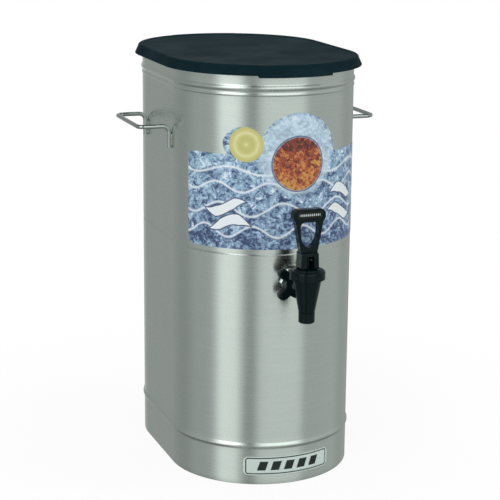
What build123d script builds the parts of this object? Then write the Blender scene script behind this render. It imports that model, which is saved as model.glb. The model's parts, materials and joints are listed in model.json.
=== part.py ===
from build123d import *
from math import radians, sin, sqrt
import os

os.makedirs("parts", exist_ok=True)

# Frame
# Millimetres. The origin is the middle of the base on the resting plane, +Z is up and
# the tap faces -Y. Seen from above the vessel is an oval of two straight sides and two
# half circles, longer from front to back than from side to side.

# Vessel
body_width = 230.0
body_depth = 340.0
rim_top = 518.5
sheet = 1.0
rim_diameter = 4.4
seam_height = 294.5
seam_gap = 3.6
weld_gap = 0.1

# Beads pressed outwards in the sheet
lower_bead_height = 50.5
upper_bead_drop = 24.0
bead_out = 1.7
bead_half = 4.6
bead_bend = 0.5
step_bead_drop = 31.7
step_bead_out = 0.8
step_bead_half = 2.4

# Base skirt
hem_width = 9.0
hem_round = 0.8
hem_round_share = 0.8
joggle_height = 18.0

# Tank floor, a drawn pan lapped inside the upper shell
floor_drop = 25.5
lap_height = 17.3
pan_corner = 8.0
pan_side_gap = 1.1
pan_joggle = 3.0

# Lid
lid_plate = 3.6
lid_sheet = 2.2
lid_seat_gap = 0.3
lid_skirt_height = 11.9
lid_reach_bottom = 9.5
lid_reach_top = 5.6
lid_shoulder = 3.0
lid_dish_inset = 9.0
lid_dish_run = 1.6
lid_dish_depth = 0.8
lid_rib_gap = 1.2
lid_rib_depth = 11.0
tab_half_angle = 22.0
tab_proud = 1.5
tab_drop = 2.3

# Side handles, bent from round wire
grip_wire = 5.2
grip_spacing = 101.0
grip_reach = 41.0
grip_drop = 82.0
grip_leg = 27.0
grip_bend = 9.0

# Print and badge on the front
film = 0.25
film_gap = 0.05
print_half_angle = 69.0
print_over_seam = 4.2
print_drop = 103.5
print_corner = 5.0
print_disc_radius = 50.0
print_disc_x = 6.0
print_spot_radius = 21.0
print_spot_x = -58.0
print_spot_rise = 13.0
badge_half_angle = 29.0
badge_bottom = 12.5
badge_height = 24.0
badge_corner = 6.0
badge_thickness = 0.5

# Shank through the front wall, its washers and nuts
shank_drop = 32.5
shank_diameter = 22.0
shank_bore = 14.0
shank_hole_gap = 0.3
wall_hole_reach = 20.0
flange_reach = 6.0
flange_thickness = 3.0
washer_reach = 6.0
washer_thickness = 2.5
washer_blank = 5.0
seat_gap = 0.1
lock_nut_wall = 5.0
lock_nut_thickness = 6.0
lock_nut_chamfer = 0.8
nut_spacing = 1.3
thread_gap = 0.05

# Hand nut that draws the tap onto the shank
hand_nut_length = 13.6
hand_nut_wall = 6.0
hand_nut_shelf = 2.2
lobe_tilt = 35.0
lobe_stand = 6.0
lobe_diameter = 12.0
lobe_thickness = 9.0
lobe_round = 1.6
lobe_dimple = 4.5
lobe_dimple_depth = 0.8
same_size = 0.01
nut_grip = 7.0
nut_front_gap = 0.6

# Tap body, with heights counted from the middle of the shank
tap_standoff = 47.0
tip_drop = 40.0
tip_height = 13.0
tip_diameter = 19.6
tip_round = 1.2
tip_groove = 0.5
cone_rise = 12.0
cone_diameter = 34.0
boss_height = 8.5
tap_wall = 3.0
outlet_bore = 12.5
seat_drop = 7.5
seat_lip = 0.8
tail_diameter = 26.0
tail_wall = 2.0
tail_bore = 13.0
tail_seal_thickness = 1.5
retainer_thickness = 1.6
retainer_groove = 0.8
retainer_split = 4.0

# Bonnet
bonnet_wall = 4.5
bonnet_lap = 6.5
bonnet_seal_thickness = 1.5
bonnet_roof = 3.8
bonnet_round = 3.0
bonnet_shoulder = 1.0
pad_inset = 5.0
pad_step = 1.2
pad_bevel = 0.6
dimple_count = 5
dimple_ball = 5.0
dimple_depth = 1.7
dimple_turn = 15.0
to_user = -90.0

# Stem, valve cup and spring
stem_diameter = 6.4
stem_over_pin = 4.5
stem_end_chamfer = 0.8
pin_rise = 10.0
pin_diameter = 2.8
pin_inset = 0.8
running_gap = 0.06
cup_bottom_diameter = 16.4
cup_lip_height = 3.0
cup_top_diameter = 12.4
cup_height = 11.5
cup_base = 3.5
cup_socket_gap = 0.05
washer_rise = 0.8
spring_wire = 1.1
spring_radius = 5.3
spring_turns = 6.5
spring_gap = 0.25

# Lever
lever_gap = 0.3
neck_width = 22.8
neck_depth = 20.8
neck_corner = 2.5
neck_height = 20.2
neck_taper = 2.1
neck_round = 2.0
fork_width = 9.6
fork_back = 6.2
fork_height = 15.7
loop_root_width = 20.4
loop_leg_width = 34.4
loop_bar_width = 40.4
loop_height = 51.5
loop_bar_height = 10.8
loop_flare = 4.6
loop_depth = 12.4
loop_corner = 6.6
loop_bend = 5.0
loop_edge = 1.8
loop_root = 2.0
slot_foot = 5.8
slot_round = 19.6
slot_height = 30.4
slot_width = 22.8
slot_corner = 5.0
slot_edge = 1.0
label_width = 31.0
label_height = 8.0
label_corner = 1.5
label_thickness = 0.9
label_pocket = 1.4
label_below_top = 6.6

# Outline of the vessel
oval_radius = body_width / 2
arc_y = (body_depth - body_width) / 2
front_y = -body_depth / 2
inner_radius = oval_radius - sheet
rim_radius = rim_diameter / 2
rim_centre_x = inner_radius + rim_radius
rim_centre_z = rim_top - rim_radius
upper_edge = seam_height + seam_gap / 2
lower_edge = seam_height - seam_gap / 2
lap_radius = inner_radius - weld_gap
joggle_top = lower_edge + joggle_height
pan_radius = lap_radius - sheet - pan_side_gap

# Heights of the tap
tap_y = front_y - tap_standoff
shank_height = seam_height - shank_drop
floor_top = shank_height - floor_drop
tip_bottom = shank_height - tip_drop
tip_top = tip_bottom + tip_height
seat_height = shank_height - seat_drop
cone_top = shank_height + cone_rise
boss_top = cone_top + boss_height
bonnet_bottom = boss_top - bonnet_lap
bonnet_under = boss_top + bonnet_seal_thickness + 2 * seat_gap
bonnet_top = bonnet_under + bonnet_roof
pin_height = bonnet_top + pin_rise
tap_axis = Axis((0, tap_y, 0), (0, 0, 1))


def wrap_round(profile):
    """Carries a profile drawn in the XZ plane, on the +X side, once round the oval."""
    extrude(profile, amount=arc_y, both=True)
    extrude(mirror(profile, about=Plane.YZ, mode=Mode.PRIVATE), amount=arc_y, both=True)
    for side in (-1, 1):
        centre = (0, side * arc_y, 0)
        half_turn = Axis(centre, (0, 0, side))
        revolve(profile.moved(Location(centre)), axis=half_turn, revolution_arc=180)


def bead(height, out, half):
    """Adds one pressed bead to a wall section that is being drawn."""
    with Locations((oval_radius, height)):
        Ellipse(out, half)
    with Locations((inner_radius, height)):
        Ellipse(out, half - bead_bend, mode=Mode.SUBTRACT)


def wall_x(y):
    """Half the width of the oval at y."""
    past = max(0.0, abs(y) - arc_y)
    return sqrt(oval_radius**2 - past**2)


def front_plane(y, z=shank_height):
    """A plane that faces the user, its middle at height z on the tap's middle line."""
    return Plane(origin=(0, y, z), x_dir=(1, 0, 0), z_dir=(0, -1, 0))


def front_post(radius, mode):
    """An upright round post on the axis of the front half circle."""
    with BuildSketch(Plane.XY) as disc:
        with Locations((0, -arc_y)):
            Circle(radius)
    extrude(disc.sketch, amount=rim_top, mode=mode)


def front_hole():
    """Cuts the hole for the shank through the front wall."""
    with BuildSketch(front_plane(front_y - wall_hole_reach / 2)) as hole:
        Circle(shank_diameter / 2 + shank_hole_gap)
    extrude(hole.sketch, amount=-wall_hole_reach, mode=Mode.SUBTRACT)


def turned(points):
    """A closed outline of (radius, height) points beside the tap's upright axis."""
    with BuildSketch(Plane.XZ.offset(-tap_y)) as outline:
        with BuildLine():
            Polyline(*points, close=True)
        make_face()
    return outline.sketch


# Upper shell with its rolled rim
with BuildPart() as tank_shell:
    with BuildSketch(Plane.XZ, mode=Mode.PRIVATE) as section:
        with Locations((inner_radius, upper_edge)):
            Rectangle(sheet, rim_centre_z - upper_edge, align=(Align.MIN, Align.MIN))
        bead(rim_top - upper_bead_drop, bead_out, bead_half)
        bead(rim_top - step_bead_drop, step_bead_out, step_bead_half)
        with Locations((rim_centre_x, rim_centre_z)):
            Circle(rim_radius)
            Circle(rim_radius - sheet, mode=Mode.SUBTRACT)
        with Locations((oval_radius, rim_centre_z)):
            Rectangle(sheet, rim_radius, align=(Align.MIN, Align.MAX), mode=Mode.SUBTRACT)
    wrap_round(section.sketch)
tank_shell.part.label = "tank_shell"

# Base skirt: lower wrap, hem at the foot, top edge joggled in behind the upper shell
with BuildPart() as base_skirt:
    with BuildSketch(Plane.XZ, mode=Mode.PRIVATE) as section:
        with Locations((inner_radius, 0)):
            Rectangle(sheet, lower_edge, align=(Align.MIN, Align.MIN))
        with Locations((oval_radius, 0)):
            Rectangle(hem_width, sheet, align=(Align.MAX, Align.MIN))
        bead(lower_bead_height, bead_out, bead_half)
        with Locations((oval_radius, lower_edge)):
            Rectangle(oval_radius - lap_radius + sheet, sheet, align=(Align.MAX, Align.MAX))
        with Locations((lap_radius, lower_edge - sheet)):
            Rectangle(sheet, joggle_height + sheet, align=(Align.MAX, Align.MIN))
        foot_corner = section.vertices().group_by(Axis.Y)[0].sort_by(Axis.X)[-1]
        fillet(foot_corner, radius=min(hem_round, sheet * hem_round_share))
    wrap_round(section.sketch)
    front_hole()
base_skirt.part.label = "base_skirt"

# Tank floor: a pan whose side wall laps up inside the upper shell
flare_low = joggle_top + sheet
flare_high = flare_low + pan_joggle
with BuildPart() as tank_floor:
    with BuildSketch(Plane.XZ, mode=Mode.PRIVATE) as section:
        with BuildLine():
            Polyline(
                (0, floor_top - sheet),
                (pan_radius, floor_top - sheet),
                (pan_radius, flare_low),
                (lap_radius, flare_high),
                (lap_radius, flare_high + lap_height),
                (lap_radius - sheet, flare_high + lap_height),
                (lap_radius - sheet, flare_high),
                (pan_radius - sheet, flare_low),
                (pan_radius - sheet, floor_top),
                (0, floor_top),
                close=True,
            )
        make_face()
        corners = section.vertices()
        fillet(corners.sort_by_distance((pan_radius, floor_top - sheet))[0], radius=pan_corner)
        corners = section.vertices()
        fillet(corners.sort_by_distance((pan_radius - sheet, floor_top))[0], radius=pan_corner - sheet)
    wrap_round(section.sketch)
    front_hole()
tank_floor.part.label = "tank_floor"

# Side handles
grip_height = rim_top - grip_drop
grip_half = grip_spacing / 2
handles = []
for side, name in ((-1, "handle_left"), (1, "handle_right")):
    foot_x = side * (wall_x(grip_half) + weld_gap + grip_wire / 2)
    bar_x = side * (oval_radius + grip_reach)
    with BuildPart() as handle:
        with BuildLine() as route:
            FilletPolyline(
                (foot_x, -grip_half, grip_height - grip_leg),
                (foot_x, -grip_half, grip_height),
                (bar_x, -grip_half, grip_height),
                (bar_x, grip_half, grip_height),
                (foot_x, grip_half, grip_height),
                (foot_x, grip_half, grip_height - grip_leg),
                radius=grip_bend,
            )
        with BuildSketch(Plane.XY.offset(grip_height - grip_leg)):
            with Locations((foot_x, -grip_half)):
                Circle(grip_wire / 2)
        sweep(path=route.line)
    handle.part.label = name
    handles.append(handle)

# Lid: shallow dished top, flared skirt, a tab front and back, locating rib inside
lid_under = rim_top + lid_seat_gap
lid_top = lid_under + lid_plate
lid_skirt_bottom = lid_top - lid_skirt_height
lid_edge = oval_radius + lid_reach_top
lid_foot = oval_radius + lid_reach_bottom
lid_rib_radius = inner_radius - lid_rib_gap
with BuildPart() as lid:
    with BuildSketch(Plane.XZ, mode=Mode.PRIVATE) as section:
        with BuildLine():
            Polyline(
                (0, lid_top - lid_dish_depth),
                (lid_edge - lid_dish_inset, lid_top - lid_dish_depth),
                (lid_edge - lid_dish_inset + lid_dish_run, lid_top),
                (lid_edge, lid_top),
                (lid_foot, lid_skirt_bottom),
                (lid_foot - lid_sheet, lid_skirt_bottom),
                (lid_edge - lid_sheet, lid_under),
                (lid_rib_radius, lid_under),
                (lid_rib_radius, lid_under - lid_rib_depth),
                (lid_rib_radius - lid_sheet, lid_under - lid_rib_depth),
                (lid_rib_radius - lid_sheet, lid_under),
                (0, lid_under),
                close=True,
            )
        make_face()
        shoulder = section.vertices().sort_by_distance((lid_edge, lid_top))[0]
        fillet(shoulder, radius=lid_shoulder)
    wrap_round(section.sketch)
    with BuildSketch(Plane.XZ, mode=Mode.PRIVATE) as tab_section:
        with BuildLine():
            Polyline(
                (lid_edge - lid_sheet, lid_under),
                (lid_foot - lid_sheet, lid_skirt_bottom - tab_drop),
                (lid_foot + tab_proud, lid_skirt_bottom - tab_drop),
                (lid_edge + tab_proud, lid_top - lid_shoulder),
                (lid_edge - lid_shoulder, lid_top - lid_dish_depth),
                close=True,
            )
        make_face()
    for side in (-1, 1):
        centre = (0, side * arc_y, 0)
        first_edge = Pos(*centre) * Rot(0, 0, side * 90 - tab_half_angle) * tab_section.sketch
        revolve(first_edge, axis=Axis(centre, (0, 0, 1)), revolution_arc=2 * tab_half_angle)
lid.part.label = "lid"

# Printed film on the front: a band with a disc and a spot that rise above it
film_inner = oval_radius + film_gap
film_outer = film_inner + film
print_half_width = film_outer * sin(radians(print_half_angle))
print_bottom = upper_edge + print_over_seam
print_top = rim_top - print_drop
with BuildPart() as front_decal:
    with BuildSketch(Plane.XZ.offset(arc_y)):
        with Locations((print_disc_x, print_top)):
            Circle(print_disc_radius)
        with Locations((print_spot_x, print_top + print_spot_rise)):
            Circle(print_spot_radius)
        with Locations((0, print_bottom)):
            Rectangle(body_width, body_depth, align=(Align.CENTER, Align.MAX), mode=Mode.SUBTRACT)
        with Locations((0, (print_bottom + print_top) / 2)):
            RectangleRounded(2 * print_half_width, print_top - print_bottom, print_corner)
    extrude(amount=body_depth)
    front_post(film_outer, Mode.INTERSECT)
    front_post(film_inner, Mode.SUBTRACT)
front_decal.part.label = "front_decal"

# Badge plate low on the front
badge_outer = film_inner + badge_thickness
badge_width = 2 * badge_outer * sin(radians(badge_half_angle))
with BuildPart() as front_badge:
    with BuildSketch(Plane.XZ.offset(arc_y)):
        with Locations((0, badge_bottom + badge_height / 2)):
            RectangleRounded(badge_width, badge_height, badge_corner)
    extrude(amount=body_depth)
    front_post(badge_outer, Mode.INTERSECT)
    front_post(film_inner, Mode.SUBTRACT)
front_badge.part.label = "front_badge"

# Places along the shank, from the tank outwards
pan_front_inside = -(arc_y + pan_radius - sheet)
inner_washer_back = pan_front_inside + seat_gap + washer_thickness
flange_front = inner_washer_back + seat_gap
outer_washer_front = front_y - seat_gap - washer_thickness
lock_nut_back = outer_washer_front - seat_gap
hand_nut_back = lock_nut_back - lock_nut_thickness - nut_spacing
shank_front = hand_nut_back - nut_grip
hand_nut_front = hand_nut_back - hand_nut_length
tail_end = shank_front - 2 * seat_gap - tail_seal_thickness
shelf_back = hand_nut_front + hand_nut_shelf
retainer_back = shelf_back + seat_gap + retainer_thickness
tail_shoulder = hand_nut_front - nut_front_gap

# Sizes round the shank
shank_radius = shank_diameter / 2
shank_hole_radius = shank_radius + shank_hole_gap
nut_bore_radius = shank_radius + thread_gap
washer_radius = shank_radius + washer_reach
tail_neck_radius = tail_bore / 2 + tail_wall

# Shank: a flanged tube from inside the tank to the hand nut
with BuildPart() as shank_tube:
    with BuildSketch(front_plane(flange_front)):
        Circle(shank_radius)
    extrude(amount=flange_front - shank_front)
    with BuildSketch(front_plane(flange_front)):
        Circle(shank_radius + flange_reach)
    extrude(amount=-flange_thickness)
    with BuildSketch(front_plane(flange_front + flange_thickness)):
        Circle(shank_bore / 2)
    extrude(amount=flange_front + flange_thickness - shank_front, mode=Mode.SUBTRACT)
shank_tube.part.label = "shank_tube"

# Washer inside the tank, shaped to the curved wall
with BuildPart() as inner_washer:
    with BuildSketch(front_plane(inner_washer_back)):
        Circle(washer_radius)
        Circle(shank_hole_radius, mode=Mode.SUBTRACT)
    extrude(amount=washer_blank)
    front_post(pan_radius - sheet - seat_gap, Mode.INTERSECT)
inner_washer.part.label = "inner_washer"

# Washer outside, shaped to the curved skirt
with BuildPart() as outer_washer:
    with BuildSketch(front_plane(outer_washer_front)):
        Circle(washer_radius)
        Circle(shank_hole_radius, mode=Mode.SUBTRACT)
    extrude(amount=-washer_blank)
    front_post(oval_radius + seat_gap, Mode.SUBTRACT)
outer_washer.part.label = "outer_washer"

# Lock nut that clamps the shank in the wall
with BuildPart() as shank_nut:
    with BuildSketch(front_plane(lock_nut_back)):
        RegularPolygon(shank_radius + lock_nut_wall, 6, major_radius=False)
        Circle(nut_bore_radius, mode=Mode.SUBTRACT)
    extrude(amount=lock_nut_thickness)
    flat_rims = shank_nut.edges().filter_by(GeomType.LINE).filter_by(Plane.XZ)
    chamfer(flat_rims, length=lock_nut_chamfer)
shank_nut.part.label = "shank_nut"

# Hand nut with four lobes
hub_radius = shank_radius + hand_nut_wall
lobe_reach = hub_radius + lobe_stand
lobe_back = hand_nut_back - (hand_nut_length - lobe_thickness) / 2
lobe_turns = (lobe_tilt, 180 - lobe_tilt, 180 + lobe_tilt, 360 - lobe_tilt)
with BuildPart() as hand_nut:
    with BuildSketch(front_plane(hand_nut_back)):
        Circle(hub_radius)
    extrude(amount=hand_nut_length)
    with BuildSketch(front_plane(lobe_back)):
        for turn in lobe_turns:
            with PolarLocations(lobe_reach / 2, 1, start_angle=turn):
                Rectangle(lobe_reach, lobe_diameter)
            with PolarLocations(lobe_reach, 1, start_angle=turn):
                Circle(lobe_diameter / 2)
    extrude(amount=lobe_thickness)
    rims = hand_nut.edges().filter_by(GeomType.CIRCLE)
    lobe_rims = rims.filter_by(lambda edge: abs(edge.radius - lobe_diameter / 2) < same_size)
    fillet(lobe_rims, radius=lobe_round)
    with BuildSketch(front_plane(lobe_back - lobe_thickness)):
        for turn in lobe_turns:
            with PolarLocations(lobe_reach, 1, start_angle=turn):
                Circle(lobe_dimple / 2)
    extrude(amount=-lobe_dimple_depth, mode=Mode.SUBTRACT)
    with BuildSketch(front_plane(hand_nut_back)):
        Circle(nut_bore_radius)
    extrude(amount=hand_nut_length - hand_nut_shelf, mode=Mode.SUBTRACT)
    with BuildSketch(front_plane(shelf_back)):
        Circle(tail_neck_radius + running_gap)
    extrude(amount=hand_nut_shelf, mode=Mode.SUBTRACT)
hand_nut.part.label = "hand_nut"

# Seal between the shank and the tap's tail
with BuildPart() as tail_seal:
    with BuildSketch(front_plane(shank_front - seat_gap)):
        Circle(shank_radius - seat_gap)
        Circle(shank_bore / 2, mode=Mode.SUBTRACT)
    extrude(amount=tail_seal_thickness)
tail_seal.part.label = "tail_seal"

# Split ring that keeps the hand nut on the tail
with BuildPart() as nut_retainer:
    with BuildSketch(front_plane(retainer_back)):
        Circle(shank_radius - seat_gap)
        Circle(tail_neck_radius - retainer_groove + seat_gap, mode=Mode.SUBTRACT)
        with Locations((0, -shank_radius)):
            Rectangle(retainer_split, shank_diameter, mode=Mode.SUBTRACT)
    extrude(amount=retainer_thickness)
nut_retainer.part.label = "nut_retainer"

# Tap body: spout tip, cone, boss for the bonnet, and the tail
tip_radius = tip_diameter / 2
cone_radius = cone_diameter / 2
cone_slope = (cone_radius - tip_radius) / (cone_top - tip_top)
seat_floor = seat_height - seat_lip
chamber_foot = tip_radius + cone_slope * (seat_height - tip_top) - tap_wall
chamber_radius = cone_radius - tap_wall
with BuildPart() as faucet_body:
    outside = turned(
        [
            (0, tip_bottom),
            (tip_radius - tip_round, tip_bottom),
            (tip_radius, tip_bottom + tip_round),
            (tip_radius, tip_top - tip_groove),
            (tip_radius - tip_groove, tip_top - tip_groove),
            (tip_radius - tip_groove, tip_top),
            (tip_radius, tip_top + tip_groove),
            (cone_radius, cone_top),
            (cone_radius, boss_top),
            (0, boss_top),
        ]
    )
    revolve(outside, axis=tap_axis)
    with BuildSketch(front_plane(tail_shoulder)):
        Circle(tail_diameter / 2)
    extrude(amount=tail_shoulder - tap_y)
    with BuildSketch(front_plane(tail_end)):
        Circle(tail_neck_radius)
    extrude(amount=tail_end - tail_shoulder)
    with BuildSketch(front_plane(retainer_back)):
        Circle(tail_diameter / 2)
        Circle(tail_neck_radius - retainer_groove, mode=Mode.SUBTRACT)
    extrude(amount=retainer_thickness, mode=Mode.SUBTRACT)
    chamber = turned(
        [
            (0, seat_height),
            (outlet_bore / 2 + seat_lip, seat_height),
            (outlet_bore / 2 + 2 * seat_lip, seat_floor),
            (chamber_foot, seat_floor),
            (chamber_radius, cone_top),
            (chamber_radius, boss_top),
            (0, boss_top),
        ]
    )
    revolve(chamber, axis=tap_axis, mode=Mode.SUBTRACT)
    with BuildSketch(Plane.XY.offset(tip_bottom)):
        with Locations((0, tap_y)):
            Circle(outlet_bore / 2)
    extrude(amount=seat_height - tip_bottom, mode=Mode.SUBTRACT)
    with BuildSketch(front_plane(tail_end)):
        Circle(tail_bore / 2)
    extrude(amount=tail_end - tap_y, mode=Mode.SUBTRACT)
faucet_body.part.label = "faucet_body"

# Bonnet: cap over the boss, with thumb dimples in its rim
bonnet_radius = cone_radius + bonnet_wall
pad_radius = bonnet_radius - pad_inset
rim_height = bonnet_top - pad_step
with BuildPart() as bonnet:
    outside = turned(
        [
            (0, bonnet_bottom),
            (bonnet_radius, bonnet_bottom),
            (bonnet_radius, rim_height - bonnet_round),
            (bonnet_radius - bonnet_shoulder, rim_height - bonnet_shoulder),
            (bonnet_radius - bonnet_round, rim_height),
            (pad_radius, rim_height),
            (pad_radius - pad_bevel, bonnet_top),
            (0, bonnet_top),
        ]
    )
    revolve(outside, axis=tap_axis)
    dimple_ring = bonnet_radius + dimple_ball - dimple_depth
    with Locations((0, tap_y, (bonnet_bottom + rim_height) / 2)):
        with PolarLocations(dimple_ring, dimple_count, start_angle=to_user + dimple_turn):
            Sphere(dimple_ball, mode=Mode.SUBTRACT)
    with BuildSketch(Plane.XY.offset(bonnet_bottom)):
        with Locations((0, tap_y)):
            Circle(cone_radius + running_gap)
    extrude(amount=bonnet_under - bonnet_bottom, mode=Mode.SUBTRACT)
    with BuildSketch(Plane.XY.offset(bonnet_bottom)):
        with Locations((0, tap_y)):
            Circle(stem_diameter / 2 + running_gap)
    extrude(amount=bonnet_top - bonnet_bottom, mode=Mode.SUBTRACT)
bonnet.part.label = "bonnet"

# Flat ring that seals the bonnet on the boss
with BuildPart() as bonnet_seal:
    with BuildSketch(Plane.XY.offset(boss_top + seat_gap)):
        with Locations((0, tap_y)):
            Circle(cone_radius - seat_gap)
            Circle(chamber_radius, mode=Mode.SUBTRACT)
    extrude(amount=bonnet_seal_thickness)
bonnet_seal.part.label = "bonnet_seal"

# Valve stem, drilled across near its top for the pivot pin
cup_bottom = seat_height + seat_gap
cup_top = cup_bottom + cup_height
stem_bottom = cup_bottom + cup_base
stem_top = pin_height + stem_over_pin
with BuildPart() as valve_stem:
    with BuildSketch(Plane.XY.offset(stem_bottom)):
        with Locations((0, tap_y)):
            Circle(stem_diameter / 2)
    extrude(amount=stem_top - stem_bottom)
    chamfer(valve_stem.edges().group_by(Axis.Z)[-1], length=stem_end_chamfer)
    with BuildSketch(Plane.YZ.offset(-stem_diameter)):
        with Locations((tap_y, pin_height)):
            Circle(pin_diameter / 2 + running_gap)
    extrude(amount=2 * stem_diameter, mode=Mode.SUBTRACT)
valve_stem.part.label = "valve_stem"

# Pivot pin through the stem and both cheeks of the lever
pin_length = neck_width - 2 * pin_inset
with BuildPart() as pivot_pin:
    with BuildSketch(Plane.YZ.offset(-pin_length / 2)):
        with Locations((tap_y, pin_height)):
            Circle(pin_diameter / 2)
    extrude(amount=pin_length)
pivot_pin.part.label = "pivot_pin"

# Silicone cup that closes the outlet
with BuildPart() as seat_cup:
    cup = turned(
        [
            (0, cup_bottom),
            (cup_bottom_diameter / 2, cup_bottom),
            (cup_bottom_diameter / 2, cup_bottom + cup_lip_height),
            (cup_top_diameter / 2, cup_top),
            (0, cup_top),
        ]
    )
    revolve(cup, axis=tap_axis)
    with BuildSketch(Plane.XY.offset(stem_bottom - cup_socket_gap)):
        with Locations((0, tap_y)):
            Circle(stem_diameter / 2 + cup_socket_gap)
    extrude(amount=cup_top - stem_bottom + cup_socket_gap, mode=Mode.SUBTRACT)
seat_cup.part.label = "seat_cup"

# Washer between the cup and the spring
with BuildPart() as spring_washer:
    with BuildSketch(Plane.XY.offset(cup_top + seat_gap)):
        with Locations((0, tap_y)):
            Circle(cup_top_diameter / 2)
            Circle(stem_diameter / 2 + running_gap, mode=Mode.SUBTRACT)
    extrude(amount=washer_rise)
spring_washer.part.label = "spring_washer"

# Compression spring round the stem
spring_low = cup_top + seat_gap + washer_rise + spring_gap + spring_wire / 2
spring_high = bonnet_under - spring_gap - spring_wire / 2
spring_rise = spring_high - spring_low
with BuildPart() as valve_spring:
    with BuildLine() as coil:
        Helix(spring_rise / spring_turns, spring_rise, spring_radius, center=(0, tap_y, spring_low))
    with BuildSketch(Plane(origin=coil.line @ 0, z_dir=coil.line % 0)):
        Circle(spring_wire / 2)
    sweep(path=coil.line, is_frenet=True)
valve_spring.part.label = "valve_spring"

# Lever: a forked neck that straddles the stem and a tall finger loop above it
neck_bottom = bonnet_top + lever_gap
neck_top = neck_bottom + neck_height
loop_top = neck_top + loop_height
loop_back = tap_y + loop_depth / 2
loop_front = tap_y - loop_depth / 2
bar_bottom = loop_top - loop_bar_height
slot_bottom = neck_top + slot_foot
slot_middle = slot_bottom + slot_round
slot_top = slot_bottom + slot_height
label_middle = loop_top - label_below_top
with BuildPart() as lever:
    with BuildSketch(Plane.XY.offset(neck_bottom)):
        with Locations((0, tap_y)):
            RectangleRounded(neck_width, neck_depth, neck_corner)
    extrude(amount=neck_height, taper=neck_taper)
    fillet(lever.edges().group_by(Axis.Z)[-1], radius=neck_round)
    heels = lever.edges().group_by(Axis.Z)[0].filter_by(Axis.X)
    fillet(heels, radius=neck_round)
    with BuildSketch(Plane.XZ.offset(-loop_back)) as loop:
        with BuildLine():
            Polyline(
                (-loop_root_width / 2, neck_top - loop_root),
                (loop_root_width / 2, neck_top - loop_root),
                (loop_leg_width / 2, bar_bottom - loop_flare),
                (loop_bar_width / 2, bar_bottom),
                (loop_bar_width / 2, loop_top),
                (-loop_bar_width / 2, loop_top),
                (-loop_bar_width / 2, bar_bottom),
                (-loop_leg_width / 2, bar_bottom - loop_flare),
                close=True,
            )
        make_face()
        fillet(loop.vertices().group_by(Axis.Y)[-1], radius=loop_corner)
        levels = loop.vertices().group_by(Axis.Y)
        fillet(levels[1] + levels[2], radius=loop_bend)
    extrude(amount=loop_depth)
    with BuildSketch(Plane.XZ.offset(-loop_back)) as slot:
        with BuildLine():
            EllipticalCenterArc((0, slot_middle), slot_width / 2, slot_round, 180, arc_size=180)
            Polyline(
                (slot_width / 2, slot_middle),
                (slot_width / 2, slot_top),
                (-slot_width / 2, slot_top),
                (-slot_width / 2, slot_middle),
            )
        make_face()
        fillet(slot.vertices().group_by(Axis.Y)[-1], radius=slot_corner)
    extrude(amount=loop_depth, mode=Mode.SUBTRACT)
    for height, edge_round in ((loop_top, loop_edge), (slot_top, slot_edge)):
        level_rims = lever.edges().filter_by(Axis.X).filter_by_position(Axis.Z, height, height)
        fillet(level_rims, radius=edge_round)
    with BuildSketch(front_plane(loop_front, label_middle)):
        RectangleRounded(label_width, label_height, label_corner)
    extrude(amount=-label_pocket, mode=Mode.SUBTRACT)
    with BuildSketch(Plane.XY.offset(neck_bottom)):
        with Locations((0, tap_y + fork_back)):
            Rectangle(fork_width, neck_depth, align=(Align.CENTER, Align.MAX))
    extrude(amount=fork_height, mode=Mode.SUBTRACT)
    with BuildSketch(Plane.YZ.offset(-neck_width)):
        with Locations((tap_y, pin_height)):
            Circle(pin_diameter / 2 + running_gap)
    extrude(amount=2 * neck_width, mode=Mode.SUBTRACT)
lever.part.label = "lever"

# Inlay in the pocket at the top of the loop
with BuildPart() as lever_label:
    with BuildSketch(front_plane(loop_front + label_pocket - seat_gap, label_middle)):
        RectangleRounded(label_width - 2 * seat_gap, label_height - 2 * seat_gap, label_corner - seat_gap)
    extrude(amount=label_thickness)
lever_label.part.label = "lever_label"

for piece in (
    tank_shell,
    base_skirt,
    tank_floor,
    *handles,
    lid,
    front_decal,
    front_badge,
    shank_tube,
    inner_washer,
    outer_washer,
    shank_nut,
    hand_nut,
    tail_seal,
    nut_retainer,
    faucet_body,
    bonnet,
    bonnet_seal,
    valve_stem,
    pivot_pin,
    seat_cup,
    spring_washer,
    valve_spring,
    lever,
    lever_label,
):
    export_step(piece.part, f"parts/{piece.part.label}.step")
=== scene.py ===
"""Looks of an oval stainless drink dispenser, built round its packed construction.

Everything is in metres, in the frame of the construction: +Z up, the tap towards -Y.
"""

import json
from functools import partial
from math import acos, atan2, cos, pi, radians, sin, tan, tau

import bmesh
import bpy
from bpy.props import FloatProperty, FloatVectorProperty, PointerProperty
from mathutils import Matrix, Vector


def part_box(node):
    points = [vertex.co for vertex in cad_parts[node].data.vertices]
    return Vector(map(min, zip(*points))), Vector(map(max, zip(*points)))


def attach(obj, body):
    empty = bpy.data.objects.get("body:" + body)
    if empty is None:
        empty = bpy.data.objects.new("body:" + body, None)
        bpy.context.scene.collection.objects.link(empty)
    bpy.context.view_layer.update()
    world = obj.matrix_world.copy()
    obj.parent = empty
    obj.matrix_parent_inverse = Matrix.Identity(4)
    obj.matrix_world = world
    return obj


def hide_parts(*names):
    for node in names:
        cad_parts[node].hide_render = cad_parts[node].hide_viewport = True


bl_info = {
    "name": "Oval drink dispenser",
    "version": (1, 0, 0),
    "blender": (4, 5, 0),
    "location": "3D View > Sidebar > Dispenser",
    "description": "Builds the finish and fine shape of an oval stainless drink dispenser",
    "category": "Object",
}

MM = 0.001

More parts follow.
